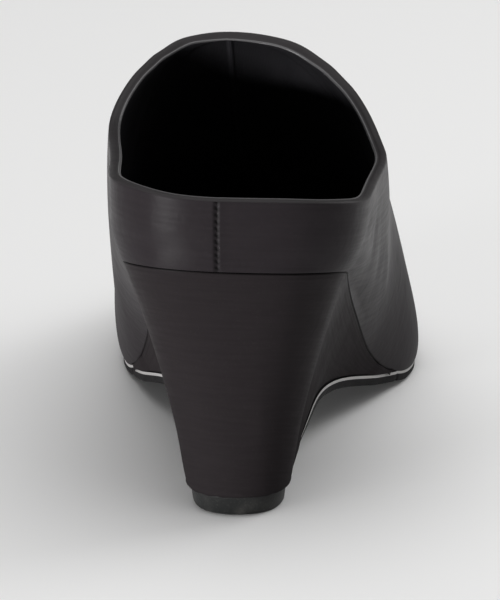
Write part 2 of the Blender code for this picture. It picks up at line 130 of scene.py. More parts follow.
def cubic(t: np.ndarray, start: np.ndarray, low: np.ndarray, high: np.ndarray, end: np.ndarray) -> np.ndarray:
    """The cubic curve from start to end that two points between them pull."""
    s = 1.0 - t
    return s**3 * start + 3 * s * s * t * low + 3 * s * t * t * high + t**3 * end


def new_material(name: str) -> tuple[bpy.types.Material, bpy.types.Node]:
    """A new material and its shader.

    Args:
        name: its name.

    Returns:
        the material and its shader.
    """
    material = bpy.data.materials.new(name)
    material.use_nodes = True
    return material, material.node_tree.nodes["Principled BSDF"]


def new_object(name: str, data: bpy.types.ID) -> bpy.types.Object:
    """A new object in the scene.

    Args:
        name: its name.
        data: its mesh, light or camera.

    Returns:
        the object.
    """
    made = bpy.data.objects.new(name, data)
    bpy.context.scene.collection.objects.link(made)
    return made


def named(rows: tuple, columns: tuple[str, ...], name: str) -> np.ndarray:
    """One named column of a table."""
    return np.array([row[columns.index(name)] for row in rows])


def smooth_curve(knots: np.ndarray, stops: list[np.ndarray], closed: bool) -> np.ndarray:
    """A curve through the knots whose bend changes without a jump.

    Args:
        knots: the rows that the curve passes through.
        stops: for each span, the shares at which points are wanted.
        closed: whether the last span runs back to the first knot.

    Returns:
        the points, one row each.
    """
    count = len(knots)
    system = np.zeros((count, count))
    load = np.zeros_like(knots)
    for i in range(count):
        if closed or 0 < i < count - 1:
            before, after = (i - 1) % count, (i + 1) % count
            system[i, i] = 4.0
            system[i, before] = 1.0
            system[i, after] = 1.0
            load[i] = 6.0 * (knots[before] - 2.0 * knots[i] + knots[after])
        else:
            system[i, i] = 1.0
    bend = np.linalg.solve(system, load)
    points = []
    for i, shares in enumerate(stops):
        j = (i + 1) % count
        for t in shares:
            s = 1.0 - t
            points.append(s * knots[i] + t * knots[j] + ((s**3 - s) * bend[i] + (t**3 - t) * bend[j]) / 6.0)
    if not closed:
        points.append(knots[-1])
    return np.array(points)


@dataclass
class Last:
    """The form that every piece is cut from, as columns that run once round the shoe.

    The columns start at the back of the heel, run out along the lateral side to the toe and come back along
    the medial side.
    """

    length: float = 0.240
    ball_width: float = 0.080
    heel_height: float = 0.068
    instep_height: float = 0.0948
    heel_reach: float = 0.028
    side_lean: float = 0.020
    gap: float = 0.0003
    hem_gap: float = 0.0001
    span_columns: int = 8
    throat_columns: int = 22
    throat_power: float = 1.8
    halvings: int = 40
    throat_row: int = 12
    breast_row: int = 5
    wedge_end_row: int = 11
    round: dict[str, np.ndarray] = field(init=False)

    def __post_init__(self) -> None:
        """Carries the section table round the shoe."""
        both = {
            "y": self.row("along") * self.length - self.heel_reach,
            "seat": self.row("seat") * self.heel_height,
            "cant": self.row("cant"),
            "ridge_y": self.row("ridge_along") * self.length - self.heel_reach,
            "ridge_x": self.row("ridge_side") * self.ball_width,
            "ridge_z": self.row("ridge") * self.instep_height,
            "rise": self.row("rise"),
        }
        runs = []
        for side in Side:
            name = side.name.lower()
            sided = {
                "x": side.value * self.row(name) * self.ball_width,
                "lean": self.row("lean_" + name) * self.side_lean,
                "crown": self.row("crown_" + name) * self.ball_width,
                "collar": self.row("collar_" + name) * self.instep_height,
            }
            runs.append(np.stack([*both.values(), *sided.values()], axis=1))
        names = [*both, "x", "lean", "crown", "collar"]
        stops = self.stops(len(SECTIONS) - 1)
        values = smooth_curve(
            np.concatenate([runs[0], runs[1][-2:0:-1]]), stops + self.mirrored(stops), closed=True
        )
        self.round = {name: values[:, k] for k, name in enumerate(names)}
        self.count = len(values)
        self.toe = self.count // 2
        self.half = slice(0, self.toe + 1)
        self.throat = self.column_of(self.throat_row)
        step = np.roll(values, -1, axis=0) - np.roll(values, 1, axis=0)
        dx, dy = step[:, names.index("x")], step[:, 0]
        self.outward = unit(np.stack([dy, -dx, np.zeros(self.count)], axis=1))
        self.mates = (self.count - np.arange(self.count)) % self.count
        self.past = np.minimum(np.arange(self.count), self.mates)

    def row(self, name: str) -> np.ndarray:
        """One named column of the section table."""
        return named(SECTIONS, SECTION_COLUMNS, name)

    def stops(self, last_row: int) -> list[np.ndarray]:
        """Where columns stand within each span out along one side, closer together at the throat.

        Args:
            last_row: the row that the last span runs to.

        Returns:
            the shares within each span.
        """
        even = np.arange(self.span_columns) / self.span_columns
        near = np.arange(self.throat_columns) / self.throat_columns
        power = self.throat_power
        special = {self.throat_row - 1: 1.0 - (1.0 - near) ** power, self.throat_row: near**power}
        return [special.get(row, even) for row in range(last_row)]

    def mirrored(self, stops: list[np.ndarray]) -> list[np.ndarray]:
        """The stops of the same spans walked the other way."""
        return [np.concatenate([[0.0], 1.0 - shares[:0:-1]]) for shares in reversed(stops)]

    def column_of(self, row: int) -> int:
        """The number of the column that stands on a row of the table."""
        return sum(len(shares) for shares in self.stops(row))

    def ground(self, x: np.ndarray, y: np.ndarray) -> np.ndarray:
        """The height of the last's bottom at places in plan.

        Args:
            x: how far to the side the places lie.
            y: how far along they lie.

        Returns:
            the heights.
        """
        known = self.round["y"][self.half]
        seat, cant = (np.interp(y, known, self.round[name][self.half]) for name in ("seat", "cant"))
        return seat - cant * x

    def feather(self, inset: float, lift: float) -> np.ndarray:
        """The line where upper and sole meet, moved inwards and up: one point for each column.

        Args:
            inset: how far inwards.
            lift: how far up.

        Returns:
            the points.
        """
        points = spatial(self.round["x"], self.round["y"], np.zeros(self.count)) - inset * self.outward
        points[:, 2] = self.ground(points[:, 0], points[:, 1]) + lift
        return points

    def ribs(self, shares: np.ndarray) -> tuple[np.ndarray, np.ndarray]:
        """The outside of the upper.

        Args:
            shares: how far up each rib the rows lie, from 0 at the sole to 1 at the collar or ridge.

        Returns:
            the points by row and column, and for each column the plan direction from ridge to sole.
        """
        r = self.round
        foot = self.feather(0.0, self.hem_gap)
        top = spatial(r["ridge_x"], r["ridge_y"], r["ridge_z"])
        known = r["ridge_y"][self.half]
        slope = np.interp(top[:, 1], known, np.gradient(r["ridge_z"][self.half], known))
        away = unit((foot - top) * [1.0, 1.0, 0.0])
        low = foot + r["lean"][:, None] * away
        low[:, 2] += r["rise"] * (top[:, 2] - foot[:, 2])
        high = top + r["crown"][:, None] * away
        high[:, 2] += r["crown"] * away[:, 1] * slope
        below, above = np.zeros(self.count), np.ones(self.count)
        for _ in range(self.halvings):
            cut = (below + above) / 2.0
            under = cubic(cut[:, None], foot, low, high, top)[:, 2] < r["collar"]
            below = np.where(under, cut, below)
            above = np.where(under, above, cut)
        cut = np.where(self.past < self.throat, (below + above) / 2.0, 1.0)
        return cubic((shares[:, None] * cut)[..., None], foot, low, high, top), away

    def cloth_map(self, points: np.ndarray, away: np.ndarray) -> np.ndarray:
        """Lengths on the cloth: along from the centre back, and across from the collar or ridge.

        Args:
            points: the upper's rows and columns of points.
            away: the plan direction of each rib.

        Returns:
            the two lengths at each point, across being positive on the lateral side.
        """
        steps = np.linalg.norm(np.diff(points[-1], axis=0, append=points[-1][:1]), axis=1)
        walked = np.concatenate([[0.0], np.cumsum(steps)])
        out = walked[: self.toe + 1]
        back = (walked[-1] - walked)[self.toe :][::-1]
        side = (out + back) / 2.0
        along = side[np.minimum(self.past, self.toe)]
        drop = np.linalg.norm(np.diff(points, axis=0), axis=2)[::-1].cumsum(axis=0)[::-1]
        drop = np.concatenate([drop, np.zeros((1, self.count))])
        sign = np.where(np.arange(self.count) <= self.toe, 1.0, -1.0)
        before = self.past < self.throat
        over = np.where(before, sign, away[:, 0])
        ahead = np.where(before, 0.0, away[:, 1])
        return np.stack([along + drop * ahead, drop * over], axis=2)

    def underside(self) -> tuple[np.ndarray, np.ndarray]:
        """The edge of the wedge's underside on the lateral and on the medial side.

        Returns:
            the two lines, both from the heel to the wedge's end.
        """
        columns = (named(UNDERSIDE, UNDERSIDE_COLUMNS, name) for name in UNDERSIDE_COLUMNS)
        along, height, lateral, medial = columns
        along = along * self.length - self.heel_reach
        height = height * self.heel_height
        out = spatial(lateral * self.ball_width, along, height)
        back = spatial(-medial * self.ball_width, along, height)
        stops = self.stops(self.wedge_end_row)
        points = smooth_curve(np.concatenate([back[:0:-1], out]), self.mirrored(stops) + stops, closed=False)
        middle = len(points) // 2
        return points[middle:], points[middle::-1]


@dataclass(frozen=True)
class Fold:
    """A soft swelling or trough of the cloth, in metres on the cloth itself."""

    along: float
    across: float
    turn: float
    length: float
    width: float
    height: float

    def relief(self, along: np.ndarray, across: np.ndarray) -> np.ndarray:
        """How far the fold lifts the cloth at each place.

        Args:
            along: the length along the cloth at each place.
            across: the length across the cloth at each place.

        Returns:
            the lift in metres.
        """
        turn = math.radians(self.turn)
        p = (along - self.along) * math.cos(turn) + (across - self.across) * math.sin(turn)
        q = (across - self.across) * math.cos(turn) - (along - self.along) * math.sin(turn)
        return self.height * np.exp(-((p / self.length) ** 2) - (q / self.width) ** 2)


class Graph:
    """Places and joins the nodes of one node tree."""

    def __init__(self, tree: bpy.types.NodeTree) -> None:
        """Takes the tree that the nodes go into."""
        self.tree = tree

    def node(self, kind: str, *values: Any, **settings: Any) -> bpy.types.Node:
        """A new node with its first inputs fed and its properties set.

        Args:
            kind: the node's type.
            values: what goes into its inputs, in their order.
            settings: its properties by name.

        Returns:
            the node.
        """
        made = self.tree.nodes.new(kind)
        for name, value in settings.items():
            setattr(made, name, value)
        for socket, value in zip(made.inputs, values):
            self.feed(socket, value)
        return made

    def feed(self, socket: bpy.types.NodeSocket, value: Any) -> None:
        """Joins a socket to another, or sets its value.

        Args:
            socket: the input.
            value: the other socket, a number, or a tuple of numbers; a colour may lack its alpha.
        """
        if isinstance(value, bpy.types.NodeSocket):
            self.tree.links.new(value, socket)
        else:
            socket.default_value = (*value, 1.0) if socket.type == "RGBA" and len(value) == 3 else value

    def math(self, operation: str, *values: Any, clamp: bool = False) -> bpy.types.NodeSocket:
        """The result of a Math node."""
        return self.node("ShaderNodeMath", *values, operation=operation, use_clamp=clamp).outputs[0]

    def vector(self, operation: str, *values: Any) -> bpy.types.NodeSocket:
        """The vector result of a Vector Math node."""
        return self.node("ShaderNodeVectorMath", *values, operation=operation).outputs[0]

    def ramp(self, value: Any, low: Any, high: Any, start: Any = 0.0, end: Any = 1.0) -> bpy.types.NodeSocket:
        """A smooth step of the value from low to high, as a number from start to end."""
        given = (value, low, high, start, end)
        return self.node("ShaderNodeMapRange", *given, interpolation_type="SMOOTHSTEP").outputs["Result"]

    def parts(self, value: Any) -> Any:
        """The three numbers of a vector."""
        return self.node("ShaderNodeSeparateXYZ", value).outputs

    def texture(self, kind: str, vector: Any, scale: Any, **settings: Any) -> bpy.types.Node:
        """A texture node over a vector.

        Args:
            kind: the texture's type.
            vector: the place that it is read at.
            scale: its scale.
            settings: its properties by name.

        Returns:
            the node.
        """
        made = self.node("ShaderNodeTex" + kind, vector, **settings)
        self.feed(made.inputs["Scale"], scale)
        return made

    def noise(self, vector: Any, scale: Any, detail: float = 2.0) -> bpy.types.NodeSocket:
        """The value of a noise texture.

        Args:
            vector: the place that it is read at.
            scale: its scale.
            detail: its octaves.

        Returns:
            the texture's value.
        """
        made = self.texture("Noise", vector, scale)
        self.feed(made.inputs["Detail"], detail)
        return made.outputs["Fac"]

    def place(self) -> bpy.types.NodeSocket:
        """Where a point lies on the shoe."""
        return self.node("ShaderNodeTexCoord").outputs["Object"]

    def cloth(self) -> bpy.types.NodeSocket:
        """Where a point lies on its cloth."""
        return self.node("ShaderNodeUVMap", uv_map="Cloth").outputs[0]

    def seam(self) -> bpy.types.NodeSocket:
        """How far a point lies from its seam."""
        return self.node("ShaderNodeAttribute", attribute_name="seam").outputs["Fac"]

    def blend(self, share: Any, first: Any, second: Any) -> bpy.types.NodeSocket:
        """A mix of two colours.

        Args:
            share: how much of the second one shows.
            first: a colour.
            second: another colour.

        Returns:
            the mixed colour.
        """
        made = self.node("ShaderNodeMix", share, data_type="RGBA")
        self.feed(made.inputs[6], first)
        self.feed(made.inputs[7], second)
        return made.outputs[2]

    def bump(self, height: Any, distance: float, normal: Any = None) -> bpy.types.NodeSocket:
        """The normal of a bump node, over another normal where one is given.

        Args:
            height: the relief.
            distance: how deep the relief is.
            normal: the normal under it, or None.

        Returns:
            the normal.
        """
        made = self.node("ShaderNodeBump")
        made.inputs["Strength"].default_value = 1.0
        made.inputs["Distance"].default_value = distance
        self.feed(made.inputs["Height"], height)
        if normal is not None:
            self.feed(made.inputs["Normal"], normal)
        return made.outputs["Normal"]


class Effect:
    """A shader node group that several finishes share."""

    inputs: tuple[tuple[str, str, float], ...] = ()
    outputs: tuple[str, ...] = ()
    name: str = "effect"

    def group(self) -> bpy.types.NodeTree:
        """The group, built the first time that it is asked for.

        Returns:
            the group's tree.
        """
        found = bpy.data.node_groups.get(self.name)
        if found:
            return found
        tree = bpy.data.node_groups.new(self.name, "ShaderNodeTree")
        for name, kind, value in self.inputs:
            socket = tree.interface.new_socket(name=name, in_out="INPUT", socket_type=kind)
            if kind == "NodeSocketFloat":
                socket.default_value = value
        for name in self.outputs:
            tree.interface.new_socket(name=name, in_out="OUTPUT", socket_type="NodeSocketFloat")
        graph = Graph(tree)
        given = graph.node("NodeGroupInput")
        made = graph.node("NodeGroupOutput")
        self.fill(graph, given.outputs, made.inputs)
        return tree

    def fill(self, graph: Graph, given: Any, made: Any) -> None:
        """Builds the inside of the group; each effect has its own."""
        raise NotImplementedError

    def use(self, graph: Graph, **values: Any) -> Any:
        """Places the group in a material.

        Args:
            graph: the material's graph.
            values: the inputs by name, with underscores for spaces.

        Returns:
            the outputs of the placed group.
        """
        placed = graph.node("ShaderNodeGroup", node_tree=self.group())
        for name, value in values.items():
            graph.feed(placed.inputs[name.replace("_", " ")], value)
        return placed.outputs


class ThreadGrain(Effect):
    """The long float threads of satin: slubs and fine threads that lie along the cloth."""

    name = "thread_grain"
    inputs = (
        ("Vector", "NodeSocketVector", 0.0),
        ("Thread", "NodeSocketFloat", 0.0003),
        ("Float", "NodeSocketFloat", 0.008),
    )
    outputs = ("Height", "Shade")
    slub_size = (0.45, 0.30, 1.0)
    cross_size = (14.0, 0.5, 1.0)
    fine_share = 0.5
    slub_share = 0.6
    cross_share = 0.15
    shade_from = 0.3
    shade_to = 0.7

    def fill(self, graph: Graph, given: Any, made: Any) -> None:
        """Noise stretched along the threads, at the slub's size and at the thread's.

        Args:
            graph: the graph that the nodes go into.
            given: the group's inputs.
            made: the group's outputs.
        """
        size = graph.node("ShaderNodeCombineXYZ", given["Float"], given["Thread"], 1.0)
        place = graph.vector("DIVIDE", given["Vector"], size.outputs[0])
        fine = graph.noise(place, 1.0, 1.0)
        slub = graph.noise(graph.vector("MULTIPLY", place, self.slub_size), 1.0)
        cross = graph.noise(graph.vector("MULTIPLY", place, self.cross_size), 1.0, 1.0)
        height = graph.math("MULTIPLY", fine, self.fine_share)
        for layer, share in ((slub, self.slub_share), (cross, self.cross_share)):
            height = graph.math("ADD", height, graph.math("MULTIPLY", layer, share))
        graph.feed(made["Height"], height)
        graph.feed(made["Shade"], graph.ramp(slub, self.shade_from, self.shade_to))


class StitchedSeam(Effect):
    """A closed seam: a sunk line, stitches across it and cloth that puckers beside it."""

    name = "stitched_seam"
    inputs = (
        ("Distance", "NodeSocketFloat", 1.0),
        ("Along", "NodeSocketFloat", 0.0),
        ("Pitch", "NodeSocketFloat", 0.0017),
        ("Width", "NodeSocketFloat", 0.0008),
    )
    outputs = ("Height", "Line")
    reach = 5.0
    pucker = 0.14
    waver_scale = 0.3
    waver = 2.0
    stitch_from = -0.6
    stitch_to = 0.5
    between_stitches = 0.35

    def fill(self, graph: Graph, given: Any, made: Any) -> None:
        """A groove by distance, and waves along the seam that fade out beside it.

        Args:
            graph: the graph that the nodes go into.
            given: the group's inputs.
            made: the group's outputs.
        """
        line = graph.ramp(given["Distance"], 0.0, given["Width"], 1.0, 0.0)
        reach = graph.math("MULTIPLY", given["Width"], self.reach)
        beside = graph.ramp(given["Distance"], 0.0, reach, 1.0, 0.0)
        turn = graph.math("MULTIPLY", graph.math("DIVIDE", given["Along"], given["Pitch"]), 2.0 * math.pi)
        slow = graph.noise(graph.math("MULTIPLY", turn, self.waver_scale), 1.0)
        wave = graph.math("SINE", graph.math("ADD", turn, graph.math("MULTIPLY", slow, self.waver)))
        pucker = graph.math("MULTIPLY", graph.math("MULTIPLY", wave, self.pucker), beside)
        graph.feed(made["Height"], graph.math("SUBTRACT", pucker, line))
        stitch = graph.ramp(wave, self.stitch_from, self.stitch_to, self.between_stitches, 1.0)
        graph.feed(made["Line"], graph.math("MULTIPLY", line, stitch))


class Handling(Effect):
    """Marks of wear and fine dust, thickest low down on the shoe."""

    name = "handling"
    inputs = (
        ("Vector", "NodeSocketVector", 0.0),
        ("Height", "NodeSocketFloat", 0.006),
        ("Amount", "NodeSocketFloat", 0.5),
    )
    outputs = ("Dust", "Rub")
    speck_scale = 1400.0
    speck_range = (0.56, 0.72)
    speck_share = 0.3
    cloud_scale = 90.0
    cloud_range = (0.45, 0.75)

    def fill(self, graph: Graph, given: Any, made: Any) -> None:
        """Specks above a low limit, and cloudy rubbed patches.

        Args:
            graph: the graph that the nodes go into.
            given: the group's inputs.
            made: the group's outputs.
        """
        low = graph.ramp(graph.parts(given["Vector"])[2], 0.0, given["Height"], 1.0, 0.0)
        specks = graph.ramp(graph.noise(given["Vector"], self.speck_scale, 3.0), *self.speck_range)
        clouds = graph.ramp(graph.noise(given["Vector"], self.cloud_scale, 3.0), *self.cloud_range)
        specks = graph.math("MULTIPLY", specks, self.speck_share)
        dust = graph.math("ADD", specks, graph.math("MULTIPLY", clouds, low))
        graph.feed(made["Dust"], graph.math("MULTIPLY", dust, given["Amount"], clamp=True))
        graph.feed(made["Rub"], graph.math("MULTIPLY", clouds, given["Amount"], clamp=True))


@dataclass(frozen=True)
class Finish:
    """A finish of one material: the settings of its shader, and the pattern that each kind adds."""

    name: str
    colour: tuple[float, float, float]
    roughness: float
    sheen: float = 0.0
    index: float = 1.5
    stretch: float = 0.0
    shades: tuple[float, float] = (0.8, 1.2)

    def build(self) -> bpy.types.Material:
        """The finished material, built once.

        Returns:
            the material.
        """
        found = bpy.data.materials.get(self.name)
        if found:
            return found
        material, shader = new_material(self.name)
        shader.inputs["Metallic"].default_value = 0.0
        shader.inputs["Roughness"].default_value = self.roughness
        shader.inputs["IOR"].default_value = self.index
        shader.inputs["Anisotropic"].default_value = self.stretch
        shader.inputs["Anisotropic Rotation"].default_value = 0.25
        shader.inputs["Sheen Weight"].default_value = self.sheen
        shader.inputs["Sheen Roughness"].default_value = 0.35
        self.dress(Graph(material.node_tree), shader)
        return material

    def dress(self, graph: Graph, shader: bpy.types.Node) -> None:
        """Adds the pattern; each kind of finish has its own."""
        raise NotImplementedError

    def tone(self, share: float) -> tuple[float, float, float]:
        """The finish's colour, lighter or darker by a share."""
        return tuple(min(1.0, channel * share) for channel in self.colour)

    def mottled(self, graph: Graph, share: Any) -> bpy.types.NodeSocket:
        """The colour between the finish's darker and lighter shade."""
        return graph.blend(share, *(self.tone(shade) for shade in self.shades))


@dataclass(frozen=True)
class Satin(Finish):
    """Satin that follows the cloth map, with its seam where the seam attribute is small."""

    shades: tuple[float, float] = (0.95, 1.06)
    thread: float = 0.00030
    floats: float = 0.009
    relief: float = 0.000002
    seam_width: float = 0.0011
    seam_depth: float = 0.00030
    seam_shade: float = 0.12
    wear: float = 0.35
    dust: float = 0.25
    dust_colour: tuple[float, float, float] = (0.10, 0.095, 0.09)
    gloss_spread: float = 0.02
    rub: float = 0.10
    matt: float = 0.22
    matt_range: tuple[float, float] = (0.012, 0.055)
    rumple_scale: float = 240.0
    rumple: float = 0.00012

    def dress(self, graph: Graph, shader: bpy.types.Node) -> None:
        """Threads, slubs, the seam and a little dust in colour, roughness and bump.

        Args:
            graph: the graph that the nodes go into.
            shader: the material's shader.
        """
        cloth, place = graph.cloth(), graph.place()
        along = graph.parts(cloth)[1]
        grain = ThreadGrain().use(graph, Vector=cloth, Thread=self.thread, Float=self.floats)
        sewn = StitchedSeam().use(graph, Distance=graph.seam(), Along=along, Width=self.seam_width)
        wear = Handling().use(graph, Vector=place, Amount=self.wear)
        colour = graph.blend(sewn["Line"], self.mottled(graph, grain["Shade"]), self.tone(self.seam_shade))
        colour = graph.blend(graph.math("MULTIPLY", wear["Dust"], self.dust), colour, self.dust_colour)
        graph.feed(shader.inputs["Base Color"], colour)
        matter, glossier = self.roughness + self.gloss_spread, self.roughness - self.gloss_spread
        gloss = graph.ramp(grain["Shade"], 0.0, 1.0, matter, glossier)
        gloss = graph.math("ADD", gloss, graph.math("MULTIPLY", wear["Rub"], self.rub))
        matt = graph.ramp(graph.parts(place)[2], *self.matt_range, self.matt, 0.0)
        graph.feed(shader.inputs["Roughness"], graph.math("ADD", gloss, matt, clamp=True))
        normal = graph.bump(graph.noise(place, self.rumple_scale), self.rumple)
        normal = graph.bump(sewn["Height"], self.seam_depth, normal)
        graph.feed(shader.inputs["Normal"], graph.bump(grain["Height"], self.relief, normal))


@dataclass(frozen=True)
class Lining(Finish):
    """A matt woven lining with its centre-front seam."""

    shades: tuple[float, float] = (0.8, 1.25)
    rough_range: tuple[float, float] = (0.62, 0.78)
    weave_scale: float = 700.0
    weave_depth: float = 0.00004
    cloud_scale: float = 140.0
    welt_range: tuple[float, float] = (0.0002, 0.0012)
    welt_depth: float = 0.0004
    welt_highlight: float = 2.2
    welt_share: float = 0.6

    def dress(self, graph: Graph, shader: bpy.types.Node) -> None:
        """A plain weave and the welt of its seam, with a painted highlight on the welt.

        Args:
            graph: the graph that the nodes go into.
            shader: the material's shader.
        """
        cloth = graph.cloth()
        threads = [
            graph.texture("Wave", cloth, self.weave_scale, bands_direction=axis).outputs["Fac"]
            for axis in ("X", "Y")
        ]
        welt = graph.ramp(graph.seam(), *self.welt_range, 1.0, 0.0)
        clouds = graph.noise(cloth, self.cloud_scale, 3.0)
        share = graph.math("MULTIPLY", welt, self.welt_share)
        # Along the seam the colour is blended towards a tone 2.2 times lighter: a painted highlight on the
        # welt's raised ridge.
        colour = graph.blend(share, self.mottled(graph, clouds), self.tone(self.welt_highlight))
        graph.feed(shader.inputs["Base Color"], colour)
        graph.feed(shader.inputs["Roughness"], graph.ramp(clouds, 0.3, 0.7, *self.rough_range))
        normal = graph.bump(graph.math("MAXIMUM", *threads), self.weave_depth)
        graph.feed(shader.inputs["Normal"], graph.bump(welt, self.welt_depth, normal))


@dataclass(frozen=True)
class Smooth(Finish):
    """Leather, board or rubber: a pebbled skin with wear towards the floor."""

    grain: float = 900.0
    depth: float = 0.00005
    worn: tuple[float, float, float] = (0.09, 0.085, 0.08)
    worn_share: float = 0.7
    reach: float = 0.006
    amount: float = 0.6
    cloud_scale: float = 60.0
    glossier: float = 0.05
    matter: float = 0.06
    rub: float = 0.2
    fine_share: float = 0.5

    def dress(self, graph: Graph, shader: bpy.types.Node) -> None:
        """Pebbles, clouds of tone and wear, in colour, roughness and bump.

        Args:
            graph: the graph that the nodes go into.
            shader: the material's shader.
        """
        place = graph.place()
        cells = graph.texture("Voronoi", place, self.grain, feature="SMOOTH_F1")
        clouds = graph.noise(place, self.cloud_scale, 4.0)
        wear = Handling().use(graph, Vector=place, Height=self.reach, Amount=self.amount)
        share = graph.math("MULTIPLY", wear["Dust"], self.worn_share)
        graph.feed(shader.inputs["Base Color"], graph.blend(share, self.mottled(graph, clouds), self.worn))
        rough = graph.ramp(clouds, 0.35, 0.65, self.roughness - self.glossier, self.roughness + self.matter)
        rough = graph.math("ADD", rough, graph.math("MULTIPLY", wear["Rub"], self.rub))
        graph.feed(shader.inputs["Roughness"], rough)
        fine = graph.math("MULTIPLY", graph.noise(place, self.grain * 2.0), self.fine_share)
        height = graph.math("ADD", cells.outputs["Distance"], fine)
        graph.feed(shader.inputs["Normal"], graph.bump(height, self.depth))


SATIN = Satin("satin", (0.0170, 0.0142, 0.0160), 0.46, index=1.18, stretch=0.8)
# The collar's fold takes a slightly lighter copy of the satin: painted light on the fold, which faces up.
FOLD_SATIN_LIT = Satin("satin_fold_painted_light", (0.0210, 0.0190, 0.0200), 0.46, index=1.22, seam_width=0.0001)
# The bead along the collar's inner edge takes a satin about three times lighter: a painted highlight on that
# edge.
BEAD_SATIN_HIGHLIGHT = Satin("satin_bead_painted_highlight", (0.050, 0.048, 0.050), 0.34, sheen=0.3, seam_width=0.0001)
WEDGE_SATIN = Satin(
    "wedge_satin", (0.0170, 0.0144, 0.0155), 0.50, index=1.10, relief=0.000006, seam_width=0.0008
)
LINING = Lining("lining", (0.0110, 0.0105, 0.0120), 0.72, index=1.2)
SOCK = Smooth("sock", (0.0100, 0.0094, 0.0100), 0.62, grain=1300.0, reach=0.001, amount=0.2)
SOLE_LEATHER = Smooth(
    "sole_leather", (0.010, 0.0094, 0.010), 0.6, grain=700.0, reach=0.002, amount=0.3, index=1.12
)
# The sole's lip is a pale grey band along the top of the edge: a painted highlight where the glossy edge
# catches the light.
SOLE_LIP_HIGHLIGHT = Smooth("sole_lip_painted_highlight", (0.30, 0.29, 0.285), 0.34, grain=700.0, reach=0.002, amount=0.3)
RUBBER = Smooth("rubber", (0.013, 0.0135, 0.0135), 0.50, grain=1600.0, depth=0.00006, amount=0.7, index=1.3)


class Cloth:
    """A bmesh that is being laid out as sheets, with the layers that its finishes read."""

    pole_size = 1e-6
    least_size = 1e-7

    def __init__(self) -> None:
        """Starts the mesh and its layers, before anything is in it."""
        self.bm = bmesh.new()
        self.map = self.bm.loops.layers.uv.new("Cloth")
        self.seam = self.bm.verts.layers.float.new("seam")
        self.along = self.bm.verts.layers.float.new("along")
        self.across = self.bm.verts.layers.float.new("across")
        self.upward = self.bm.verts.layers.float_vector.new("upward")
        self.place = self.bm.verts.layers.int.new("place")

    def sheet(
        self,
        points: np.ndarray,
        cloth: np.ndarray | None = None,
        finish: int = 0,
        seam: np.ndarray | None = None,
    ) -> list[list[bmesh.types.BMVert]]:
        """Lays a created grid over rows and columns of points.

        Args:
            points: the places by row and column.
            cloth: the two lengths on the cloth at each place, or None for a plan of the points.
            finish: the number of the material slot.
            seam: the distance from the seam at each place, or None where there is no seam.

        Returns:
            the vertices by row and column.
        """
        cloth = points[..., :2] if cloth is None else cloth
        rows, columns = points.shape[:2]
        made = bmesh.ops.create_grid(self.bm, x_segments=columns - 1, y_segments=rows - 1, size=0.5)["verts"]
        where = {}
        laid = [[None] * columns for _ in range(rows)]
        for vert in made:
            row = round((vert.co.y + 0.5) * (rows - 1))
            column = round((vert.co.x + 0.5) * (columns - 1))
            where[vert] = (row, column)
            laid[row][column] = vert
            vert.co = points[row, column]
            vert[self.seam] = 1.0 if seam is None else seam[row, column]
        for vert in made:
            for loop in vert.link_loops:
                loop[self.map].uv = cloth[where[vert]]
                loop.face.material_index = finish
        return laid

    def note(self, row: list[bmesh.types.BMVert], place: Place) -> None:
        """Writes down where a row of vertices lies."""
        for vert in row:
            vert[self.place] = place.value

    def edges(self, place: Place, least_turn: float = -1.0) -> list[bmesh.types.BMEdge]:
        """The edges whose ends both lie at a place and whose faces turn by more than this many radians."""
        edges = [e for e in self.bm.edges if all(v[self.place] == place.value for v in e.verts)]
        return [e for e in edges if e.calc_face_angle(0.0) > least_turn]

    def join(self, first: Place, second: Place) -> dict[str, list]:
        """Bridges the open rims that lie at two places."""
        rims = [e for place in (first, second) for e in self.edges(place) if e.is_boundary]
        return bmesh.ops.bridge_loops(self.bm, edges=rims)

    def round_off(self, edges: list[bmesh.types.BMEdge], size: float, clamp: bool = False) -> None:
        """Rounds edges with a bevel.

        Args:
            edges: the edges.
            size: how far the rounding reaches.
            clamp: whether it stops where it would overlap.
        """
        bmesh.ops.bevel(
            self.bm, geom=edges, offset=size, affect="EDGES", segments=3, profile=0.5, material=-1,
            clamp_overlap=clamp,
        )

    def close_poles(self) -> None:
        """Merges doubles and takes out faces that have no area left."""
        bmesh.ops.remove_doubles(self.bm, verts=self.bm.verts, dist=self.pole_size)
        bmesh.ops.dissolve_degenerate(self.bm, dist=self.least_size, edges=self.bm.edges)

    def close_ends(self) -> None:
        """Fills the holes that are left at the ends of a sheet."""
        bmesh.ops.holes_fill(self.bm, edges=[e for e in self.bm.edges if e.is_boundary], sides=0)

    def finish(self, name: str, node: str, finishes: list[Finish]) -> bpy.types.Object:
        """Turns the mesh into a piece that replaces a node of the frame.

        Args:
            name: the piece's name.
            node: the node that it stands for.
            finishes: one for each material slot.

        Returns:
            the piece, which rides on the shoe.
        """
        layers = self.bm.verts.layers
        for layer in ("along", "across"):
            layers.float.remove(layers.float[layer])
        layers.float_vector.remove(layers.float_vector["upward"])
        layers.int.remove(layers.int["place"])
        bmesh.ops.recalc_face_normals(self.bm, faces=self.bm.faces)
        if self.bm.calc_volume(signed=True) < 0:
            bmesh.ops.reverse_faces(self.bm, faces=self.bm.faces)
        mesh = bpy.data.meshes.new(name)
        self.bm.to_mesh(mesh)
        self.bm.free()
        mesh.shade_smooth()
        for finish in finishes:
            mesh.materials.append(finish.build())
        piece = new_object(name, mesh)
        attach(piece, BODY)
        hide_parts(node)
        return piece


